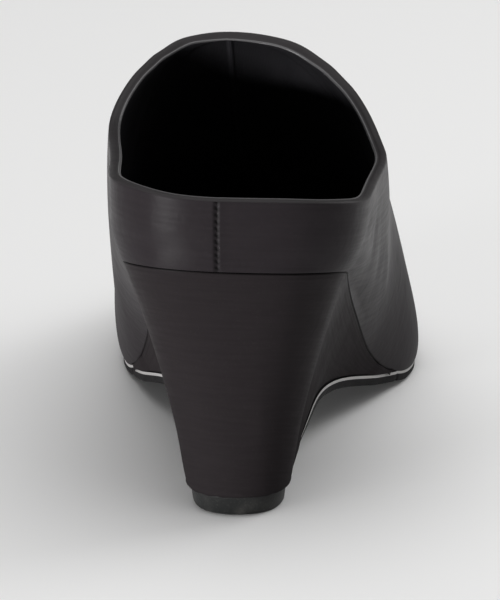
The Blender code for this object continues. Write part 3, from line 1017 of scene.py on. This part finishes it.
@dataclass
class Upper:
    """The hollow shell of satin, its folded collar and its lining."""

    last: Last
    wall: float = 0.0020
    collar_wall: float = 0.0030
    rows: int = 47
    row_power: float = 1.15
    collar_power: int = 8
    rim_cuts: int = 9
    foot_round: float = 0.0001
    seam_offset: int = 1
    rumple: float = 0.00018
    rumple_scale: float = 42.0
    foot_fade: float = 8.0
    bead_from: float = 0.76
    lap: float = 0.0004
    lap_reach: float = 0.010
    rim_profile: tuple[tuple[float, float], ...] = (
        (0.0, 0.0), (0.12, 0.00042), (0.30, 0.00062), (0.50, 0.00058), (0.64, 0.00040), (0.74, 0.00022),
        (0.82, 0.00050), (0.90, 0.00058), (1.0, 0.00010),
    )
    folds: tuple[Fold, ...] = (
        # Lateral quarter: the swelling over the feather line and the two short creases behind it.
        Fold(0.064, 0.0170, 8.0, 0.014, 0.0042, 0.0009),
        Fold(0.058, 0.0105, -16.0, 0.010, 0.0022, -0.0006),
        Fold(0.083, 0.0150, 78.0, 0.007, 0.0020, -0.0003),
        Fold(0.100, 0.0260, 62.0, 0.009, 0.0026, -0.0003),
        Fold(0.116, 0.0310, 50.0, 0.012, 0.0030, 0.0005),
        Fold(0.078, 0.0220, 10.0, 0.030, 0.0080, 0.0004),
        Fold(0.082, 0.0370, 10.0, 0.030, 0.0080, -0.0010),
        # Medial quarter.
        Fold(0.052, -0.0120, 10.0, 0.012, 0.0032, 0.0006),
        Fold(0.088, -0.0200, -60.0, 0.009, 0.0022, -0.0005),
        # The band round the heel sags a little between its seam and its sides.
        Fold(0.016, 0.0150, 4.0, 0.012, 0.0028, -0.0004),
        Fold(0.022, -0.0140, -6.0, 0.011, 0.0030, -0.0004),
        # Vamp: soft walking creases across the ball.
        Fold(0.152, 0.0200, 84.0, 0.020, 0.0034, -0.0006),
        Fold(0.160, -0.0180, -82.0, 0.018, 0.0034, -0.0006),
        Fold(0.168, 0.0150, 80.0, 0.020, 0.0040, 0.0004),
    )

    def relief(self, cloth: np.ndarray, points: np.ndarray) -> np.ndarray:
        """How far folds and slack cloth lift each point off the last.

        Args:
            cloth: the two lengths on the cloth at each point.
            points: the upper's rows and columns of points.

        Returns:
            the lift at each point.
        """
        lift = sum(fold.relief(cloth[..., 0], cloth[..., 1]) for fold in self.folds)
        medial = np.arange(cloth.shape[1]) > self.last.toe
        lift = lift + medial * self.lap * np.exp(-cloth[-1, :, 0] / self.lap_reach)
        slack = np.array([[noise.noise(Vector(p) * self.rumple_scale) for p in row] for row in points])
        fade = np.linspace(0.0, 1.0, len(points))[:, None]
        slack = self.rumple * slack * np.sin(np.pi * fade) ** 0.5
        return lift * np.minimum(1.0, self.foot_fade * fade) + slack

    def normals(self, points: np.ndarray) -> np.ndarray:
        """Outward directions at the points, the same on both sides of the ridge.

        Args:
            points: the shell's rows and columns of points, without a repeated column.

        Returns:
            a unit vector for each point.
        """
        index = np.arange(points[..., 0].size).reshape(points.shape[:2])
        shared = self.last.past >= self.last.throat
        index[-1, shared] = index[-1, self.last.past[shared]]
        a, b = index[:-1], np.roll(index, -1, axis=1)[:-1]
        c, d = np.roll(index, -1, axis=1)[1:], index[1:]
        flat = points.reshape(-1, 3)
        faces = np.cross(flat[c] - flat[a], flat[d] - flat[b])
        total = np.zeros_like(flat)
        for corner in (a, b, c, d):
            np.add.at(total, corner, faces)
        normals = unit(total[index])
        facing = (normals[1] * self.last.outward).sum()
        return normals if facing > 0 else -normals

    def seam_distance(self, points: np.ndarray) -> np.ndarray:
        """How far each point of a closed sheet lies from its two meeting ends.

        Args:
            points: the sheet's rows and columns of points.

        Returns:
            the distances in metres.
        """
        walked = np.linalg.norm(np.diff(points, axis=1), axis=2).cumsum(axis=1)
        walked = np.concatenate([np.zeros((len(points), 1)), walked], axis=1)
        return np.minimum(walked, walked[:, -1:] - walked)

    def turned(self, values: np.ndarray) -> np.ndarray:
        """The columns started at the centre-back seam, with the first one repeated at the end."""
        rolled = np.roll(values, self.seam_offset, axis=1)
        return np.concatenate([rolled, rolled[:, :1]], axis=1)

    def mark(
        self, cloth: Cloth, laid: list, up: np.ndarray, along: np.ndarray, foot: Place, collar: Place
    ) -> None:
        """Notes on the first and last rows where they lie and which way the wall rises.

        Args:
            cloth: the mesh in the making.
            laid: its vertices by row and column.
            up: the wall's direction at the collar, by column.
            along: the length along the collar, by column.
            foot: the place of the first row.
            collar: the place of the last row.
        """
        cloth.note(laid[0], foot)
        cloth.note(laid[-1], collar)
        for column, vert in enumerate(laid[-1]):
            vert[cloth.across] = 1.0 if collar is Place.INNER_COLLAR else 0.0
            vert[cloth.along] = along[column]
            vert[cloth.upward] = Vector(up[column])

    def fold_rim(self, cloth: Cloth) -> None:
        """Joins the two walls over the collar with a rounded fold and a bead at its inner edge; the fold
        takes painted light and the bead a painted highlight.

        Args:
            cloth: the mesh in the making.
        """
        made = cloth.join(Place.OUTER_COLLAR, Place.INNER_COLLAR)
        ends = {Place.OUTER_COLLAR.value, Place.INNER_COLLAR.value}
        across = [e for e in made["edges"] if {v[cloth.place] for v in e.verts} == ends]
        bmesh.ops.subdivide_edges(cloth.bm, edges=across, cuts=self.rim_cuts, use_grid_fill=True)
        stations = np.array(self.rim_profile)
        for vert in cloth.bm.verts:
            share = vert[cloth.across]
            if 0.001 < share < 0.999:
                lift = float(np.interp(share, stations[:, 0], stations[:, 1]))
                vert.co += vert[cloth.upward] * lift
                vert[cloth.place] = Place.ELSEWHERE.value
                vert[cloth.seam] = 1.0
                for face in vert.link_faces:
                    middle = sum(v[cloth.across] for v in face.verts) / len(face.verts)
                    # The fold's faces take the slightly lighter satin of painted light, the bead's faces the
                    # painted highlight.
                    face.material_index = 2 if middle > self.bead_from else 1
                    for loop in face.loops:
                        loop[cloth.map].uv = (loop.vert[cloth.along], loop.vert[cloth.across] * self.wall)

    def build(self) -> bpy.types.Object:
        """Lays the outside and the lining, folds the rim and turns the lower edge under.

        Returns:
            the shell as one closed piece.
        """
        last = self.last
        shares = np.linspace(0.0, 1.0, self.rows) ** self.row_power
        points, away = last.ribs(shares)
        cloth_map = last.cloth_map(points, away)
        normals = self.normals(points)
        outside = points + self.relief(cloth_map, points)[..., None] * normals
        ahead = last.past >= last.throat
        outside[-1, ahead] = outside[-1, last.past[ahead]]
        normals = self.normals(outside)
        open_share = np.clip(1.0 - (last.past - last.throat) / last.throat_columns, 0.0, 1.0)
        wall = self.wall + (self.collar_wall - self.wall) * shares[:, None] ** self.collar_power * open_share
        inside = (outside - wall[:, :, None] * normals)[::2]
        inside[0] = last.feather(self.wall, last.hem_gap)
        up = unit(outside[-1] - outside[-2])[None]
        ridge = np.where(ahead, np.abs(cloth_map[..., 1]), 1.0)[::2]
        cloth = Cloth()
        for points, lengths, finish, places in (
            (outside, cloth_map, 0, (Place.OUTER_FOOT, Place.OUTER_COLLAR)),
            (inside, cloth_map[::2], 3, (Place.INNER_FOOT, Place.INNER_COLLAR)),
        ):
            closed = self.turned(points)
            lengths = self.turned(lengths)
            lengths[:, -1, 1] = -np.abs(lengths[:, -1, 1])
            lengths[:, 0, 1] = np.abs(lengths[:, 0, 1])
            seam = self.seam_distance(closed) if finish == 0 else self.turned(ridge)
            laid = cloth.sheet(closed, lengths, finish, seam)
            self.mark(cloth, laid, self.turned(up)[0], lengths[-1, :, 0], *places)
        cloth.close_poles()
        self.fold_rim(cloth)
        cloth.join(Place.OUTER_FOOT, Place.INNER_FOOT)
        cloth.round_off(cloth.edges(Place.OUTER_FOOT), self.foot_round)
        return cloth.finish("upper_satin", "upper", [SATIN, FOLD_SATIN_LIT, BEAD_SATIN_HIGHLIGHT, LINING])


@dataclass
class Insole:
    """The sock and board inside the shell, with a softened edge."""

    last: Last
    inset: float = 0.0023
    thickness: float = 0.0025
    edge_round: float = 0.0007
    slant: float = 0.2
    dish: float = 0.0004
    dish_shares: tuple[float, ...] = (0.12, 0.3, 0.55, 0.8, 1.0)

    def build(self) -> bpy.types.Object:
        """Lays one sheet round the board, from its underside over the edge to the sock's middle.

        Returns:
            the board and sock as one closed piece.
        """
        last = self.last
        low = last.feather(self.inset, last.gap)
        high = last.feather(self.inset + self.slant * self.thickness, last.gap + self.thickness)
        low_middle, high_middle = (low + low[last.mates]) / 2.0, (high + high[last.mates]) / 2.0
        rows = [low_middle, low, high]
        for share in self.dish_shares:
            line = high + (high_middle - high) * share
            line[:, 2] -= self.dish * math.sin(math.pi * share / 2.0)
            rows.append(line)
        points = np.stack(rows)
        cloth = Cloth()
        laid = cloth.sheet(np.concatenate([points, points[:, :1]], axis=1))
        cloth.note(laid[1], Place.OUTER_FOOT)
        cloth.note(laid[2], Place.OUTER_COLLAR)
        cloth.close_poles()
        cloth.round_off(cloth.edges(Place.OUTER_COLLAR), self.edge_round)
        return cloth.finish("insole_sock", "insole", [SOCK])


@dataclass
class Wedge:
    """The satin-covered wedge heel."""

    last: Last
    inset: float = 0.0002
    waist: float = 0.30
    upper_turn: tuple[float, float, float] = (0.52, 0.52, 0.40)
    lower_turn: tuple[float, float, float] = (0.7, 0.7, 0.25)
    rows: int = 30
    edge_round: float = 0.00015
    sharp: float = 0.5
    tuck: float = 0.004
    tip_top: float = 0.0060
    hem: float = 0.0009
    hem_wall: float = 0.0003
    hem_scale: float = 260.0
    hem_wave: float = 0.28
    gather: float = 0.0008
    gather_height: float = 0.0100
    pleats: tuple[Fold, ...] = (
        Fold(0.006, 0.0640, 12.0, 0.0040, 0.0007, 0.0004),
        Fold(-0.010, 0.0650, 4.0, 0.0050, 0.0006, 0.0003),
        Fold(0.020, 0.0635, -8.0, 0.0040, 0.0007, -0.0004),
        Fold(0.030, 0.0625, 20.0, 0.0050, 0.0008, 0.0003),
        Fold(-0.028, 0.0630, 10.0, 0.0050, 0.0008, -0.0003),
        Fold(0.012, 0.0420, 84.0, 0.0160, 0.0040, 0.0002),
        Fold(-0.020, 0.0360, 86.0, 0.0180, 0.0050, -0.0002),
    )

    def ragged_hem(self, foot: np.ndarray, walked: np.ndarray) -> np.ndarray:
        """The covering's raw edge, which hangs unevenly round the top of the heel tip.

        Args:
            foot: the wall's last row.
            walked: the length along the block at each column.

        Returns:
            the edge's outside, its inside and the line where it turns in under the block.
        """
        near = np.clip((self.tip_top + 3 * self.last.gap - foot[:, 2]) / self.last.gap, 0.0, 1.0)
        wave = np.array([noise.noise(Vector((w * self.hem_scale, 3.0, 0.0))) for w in walked])
        hang = self.hem * near * (1.0 - self.hem_wave + self.hem_wave * wave)
        centre = foot[len(foot) // 2] + np.array([0.0, 2 * self.tuck, 0.0])
        inward = unit((centre - foot) * [1.0, 1.0, 0.0]) * (self.hem_wall * near)[:, None]
        down = hang[:, None] * [0.0, 0.0, -1.0]
        return np.stack([foot + down, foot + inward + down, foot + inward])

    def build(self) -> bpy.types.Object:
        """Lays one sheet round the block, from the middle of its top over the wall to its underside.

        Returns:
            the covered block as one closed piece.
        """
        last = self.last
        end = last.column_of(last.wedge_end_row)
        top = last.feather(self.inset, 0.0)
        lateral, medial = last.underside()
        columns = [*(last.mates[c] for c in range(end, 0, -1)), *range(end + 1)]
        foot = np.concatenate([medial[end:0:-1], lateral[: end + 1]])
        foot[:, 2] = np.maximum(foot[:, 2], self.tip_top + last.gap)
        head = top[columns]
        high = head + (foot - head) * self.upper_turn
        low = foot + (head - foot) * self.lower_turn * [self.waist, self.waist, 1.0]
        t = np.linspace(0.0, 1.0, self.rows)[:, None, None]
        wall = cubic(t, head, high, low, foot)
        walked = np.concatenate([[0.0], np.linalg.norm(np.diff(head, axis=0), axis=1).cumsum()])
        walked -= walked[end]
        drop = np.linalg.norm(np.diff(wall, axis=0, prepend=wall[:1]), axis=2).cumsum(axis=0)
        lengths = np.stack([np.broadcast_to(walked, drop.shape), drop], axis=2)
        step = np.gradient(wall, axis=1)
        out = unit(np.cross(step, np.gradient(wall, axis=0)))
        out *= np.sign((out[1] * (head - head[::-1].mean(axis=0))).sum())
        lift = sum(fold.relief(lengths[..., 0], lengths[..., 1]) for fold in self.pleats)
        stem = foot[:, 2] < self.gather_height
        gathered = self.gather * np.exp(-((wall[..., 2] - self.tip_top) / self.gather_height) ** 2) * stem
        wall = wall + (lift * np.sin(np.pi * t[..., 0]) ** 0.3 + gathered)[..., None] * out
        middles = [(line + line[::-1]) / 2.0 for line in (wall[0], wall[-1])]
        for middle in middles:
            middle[:, 1] = np.maximum(middle[:, 1], middle[end, 1] + self.tuck)
        hem = self.ragged_hem(wall[-1], walked)
        points = np.concatenate([middles[0][None], wall, hem, middles[1][None]])
        lengths = np.concatenate([lengths[:1], lengths, *[lengths[-1:]] * (len(hem) + 1)])
        cloth = Cloth()
        laid = cloth.sheet(points, lengths, 0, lengths[..., 1])
        cloth.note(laid[1], Place.OUTER_FOOT)
        cloth.close_poles()
        cloth.close_ends()
        cloth.round_off(cloth.edges(Place.OUTER_FOOT, self.sharp), self.edge_round)
        return cloth.finish("wedge_satin_cover", "wedge", [WEDGE_SATIN])


@dataclass
class Outsole:
    """The thin sole down the breast, along the arch and under the forefoot."""

    last: Last
    thickness: float = 0.0026
    inset: float = 0.0002
    edge_in: float = 0.0005
    ledge: float = 0.0005
    ledge_columns: float = 2.0
    edge_round: float = 0.0003
    sharp: float = 0.35
    lip: float = 0.0007
    waist: float = 0.75
    top_piece_height: float = 0.0045

    def build(self) -> bpy.types.Object:
        """Lays one sheet round the sole's section, from its top over both edges and back.

        Returns:
            the sole as one closed piece.
        """
        last = self.last
        start = last.column_of(last.breast_row)
        lateral, medial = last.underside()
        feather = last.feather(self.inset, 0.0)
        ahead = np.arange(last.column_of(last.wedge_end_row) + 1, last.toe + 1)
        pairs = np.stack([
            np.concatenate([lateral[start:], feather[ahead]]),
            np.concatenate([medial[start:], feather[last.mates[ahead]]]),
        ])
        pairs[:, :, 2] = np.maximum(pairs[:, :, 2], 0.0)
        bare = len(lateral) - start
        ends = np.minimum(np.arange(bare) / self.ledge_columns, np.arange(bare)[::-1])
        ledge = self.ledge * np.clip(ends / last.span_columns, 0.0, 1.0)
        pairs[:, :bare, 0] += np.array([ledge, -ledge])
        path = pairs.mean(axis=0)[:, 1:]
        step = np.gradient(path, axis=0)
        down = unit(np.stack([step[:, 1], -step[:, 0]], axis=1))
        down = np.concatenate([np.zeros((len(down), 1)), down], axis=1)
        clear = (last.gap * np.clip((bare - np.arange(len(path))) / last.span_columns, 0.0, 1.0))[:, None]
        breast = UNDERSIDE[last.breast_row][0] * last.length - last.heel_reach
        least = self.top_piece_height + last.gap
        rails = []
        for side, sign in ((0, 1.0), (1, -1.0)):
            upper = pairs[side] + down * clear
            lower = pairs[side] + down * (clear + self.thickness)
            lower[:, 2] = np.maximum(lower[:, 2], 0.0)
            lip = upper + (lower - upper) * self.lip / self.thickness
            waist = upper + (lower - upper) * self.waist
            tucked = lower.copy()
            tucked[:, 0] -= sign * self.edge_in
            rails.append([upper, lip, waist, tucked])
            for line in rails[-1]:
                near = line[:, 1] < breast + self.thickness + 3 * last.gap
                line[near, 2] = np.maximum(line[near, 2], least)
                line[-1, 0] = rails[0][0][-1, 0]
        top, bottom = [(rails[0][row] + rails[1][row]) / 2.0 for row in (0, -1)]
        ring = np.stack([top, *rails[0], bottom, *rails[1][::-1], top])
        cloth = Cloth()
        laid = cloth.sheet(ring)
        for row in (1, 4, 6, 9):
            cloth.note(laid[row], Place.OUTER_FOOT)
        for row in (2, 8):
            cloth.note(laid[row], Place.INNER_FOOT)
        # Faces between the top and lip rows on both edges take the second slot, the pale band painted as the
        # edge's highlight.
        for face in cloth.bm.faces:
            face.material_index = int(all(v[cloth.place] != Place.ELSEWHERE.value for v in face.verts))
        cloth.close_poles()
        cloth.close_ends()
        cloth.round_off(cloth.edges(Place.OUTER_FOOT, self.sharp), self.edge_round, clamp=True)
        return cloth.finish("outsole_leather", "outsole", [SOLE_LEATHER, SOLE_LIP_HIGHLIGHT])


@dataclass
class TopPiece:
    """The rubber heel tip, narrower than the satin that hangs over its top and drawn in to the floor."""

    last: Last
    width: float = 0.0250
    height: float = 0.0060
    inset: float = 0.0003
    draft: float = 0.0008
    edge_round: float = 0.0005
    outsole: float = 0.0026
    outsole_foot: float = 0.0045
    step: float = 1e-4

    def build(self) -> bpy.types.Object:
        """Lays one sheet from the middle of the floor face up the side to the middle of the top.

        Returns:
            the tip as one closed piece.
        """
        last = self.last
        arc = last.column_of(last.breast_row)
        lateral, medial = last.underside()
        outline = np.concatenate([lateral[: arc + 1], medial[arc:0:-1], lateral[:1]])
        breast = outline[arc, 1]
        front = breast + last.gap + self.outsole
        outline[:, 0] *= (self.width - 2.0 * self.inset) / (2.0 * outline[:, 0].max())
        outline[:, 1] = np.where(outline[:, 1] < 0.0, outline[:, 1] + self.inset, outline[:, 1])
        outline[arc : arc + 2, 1] = front
        rows = []
        for height, inset in (
            (0.0, self.edge_round), (0.3 * self.edge_round, 0.3 * self.edge_round), (self.edge_round, 0.0),
            (self.outsole_foot, 0.0), (self.outsole_foot + self.step, 0.0), (self.height, 0.0),
        ):
            drawn = 1.0 - 2.0 * (self.draft * (1.0 - height / self.height) + inset) / self.width
            line = outline * [drawn, 1.0, 0.0] + [0.0, 0.0, height]
            line[:, 1] = front - (front - outline[:, 1]) * drawn - inset
            if height > self.outsole_foot:
                line[:, 1] = np.minimum(line[:, 1], breast - last.gap)
            rows.append(line)
        middle = np.array([0.0, (outline[0, 1] + breast) / 2.0, 0.0])
        ends = [np.tile(middle + [0.0, 0.0, row[0, 2]], (len(outline), 1)) for row in (rows[0], rows[-1])]
        cloth = Cloth()
        cloth.sheet(np.stack([ends[0], *rows, ends[1]]))
        cloth.close_poles()
        return cloth.finish("heel_tip_rubber", "top_piece", [RUBBER])


@dataclass(frozen=True)
class SoftLight:
    """A rectangular area light: its name, place, watts, size and the point that it faces."""

    name: str
    place: tuple[float, float, float]
    power: float
    size: tuple[float, float]
    aim: tuple[float, float, float] = (0.0, 0.03, 0.05)

    def hang(self) -> None:
        """Hangs the light in its place and turns it."""
        data = bpy.data.lights.new(self.name, "AREA")
        data.shape = "RECTANGLE"
        data.size, data.size_y = self.size
        data.energy = self.power
        light = new_object(self.name, data)
        light.location = self.place
        light.rotation_euler = (Vector(self.aim) - Vector(self.place)).to_track_quat("-Z", "Y").to_euler()


@dataclass
class Studio:
    """The pale floor, the soft lights and the camera."""

    elevation: float = 16.0
    yaw: float = 4.5
    distance: float = 1.5
    left: float = 0.02983
    drop: float = 0.0621
    target: tuple[float, float, float] = (0.0025, 0.010, 0.0500)
    zoom: float = 2.7
    photo_lens: float = 132.75
    floor_size: float = 12.0
    floor_colour: tuple[float, float, float] = (0.86, 0.858, 0.855)
    world_light: float = 0.16
    lights: tuple[SoftLight, ...] = (
        SoftLight("top", (0.1, 0.0, 1.7), 31.0, (2.4, 2.4)),
        SoftLight("right", (1.05, 0.85, 0.70), 5.0, (0.8, 0.8)),
        SoftLight("left", (-0.98, -0.92, 0.05), 22.0, (0.60, 0.09), (0.0, 0.0, 0.07)),
    )

    def build_floor(self) -> bpy.types.Object:
        """A wide pale floor.

        Returns:
            the floor, which isn't part of the shoe.
        """
        bm = bmesh.new()
        bmesh.ops.create_grid(bm, x_segments=4, y_segments=4, size=self.floor_size / 2.0)
        mesh = bpy.data.meshes.new("floor")
        bm.to_mesh(mesh)
        bm.free()
        material, shader = new_material("pale_floor")
        shader.inputs["Base Color"].default_value = (*self.floor_colour, 1.0)
        shader.inputs["Roughness"].default_value = 0.9
        shader.inputs["Specular IOR Level"].default_value = 0.2
        mesh.materials.append(material)
        floor = new_object("floor", mesh)
        return floor

    def build_lights(self) -> None:
        """Hangs the lights and sets the pale surroundings."""
        for light in self.lights:
            light.hang()
        world = bpy.data.worlds.new("studio")
        world.use_nodes = True
        back = world.node_tree.nodes["Background"]
        back.inputs["Color"].default_value = (1.0, 1.0, 1.0, 1.0)
        back.inputs["Strength"].default_value = self.world_light
        bpy.context.scene.world = world
        bpy.context.scene.view_settings.view_transform = "Standard"

    def build_camera(self) -> bpy.types.Object:
        """A camera at the photograph's place, turned to the one shoe.

        Returns:
            the camera, which is the scene's own.
        """
        tilt, yaw = math.radians(self.elevation), math.radians(self.yaw)
        x = -self.left
        y = -self.distance * math.cos(tilt) + self.drop * math.sin(tilt)
        z = self.distance * math.sin(tilt) + self.drop * math.cos(tilt)
        place = Vector((x * math.cos(yaw) - y * math.sin(yaw), x * math.sin(yaw) + y * math.cos(yaw), z))
        data = bpy.data.cameras.new("photo_view")
        data.sensor_width = 36.0
        data.lens = self.photo_lens * self.zoom
        camera = new_object("photo_view", data)
        camera.location = place
        camera.rotation_euler = (Vector(self.target) - place).to_track_quat("-Z", "Y").to_euler()
        bpy.context.scene.camera = camera
        return camera


def main() -> None:
    """Builds the shoe piece by piece, then the studio."""
    logging.basicConfig(level=logging.INFO, format="%(name)s: %(message)s")
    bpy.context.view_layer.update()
    last = Last()
    for part in (Upper(last), Insole(last), Wedge(last), Outsole(last), TopPiece(last)):
        piece = part.build()
        LOG.info("%s: %d faces", piece.name, len(piece.data.polygons))
    studio = Studio()
    studio.build_floor()
    studio.build_lights()
    studio.build_camera()


if __name__ == "__main__":
    main()
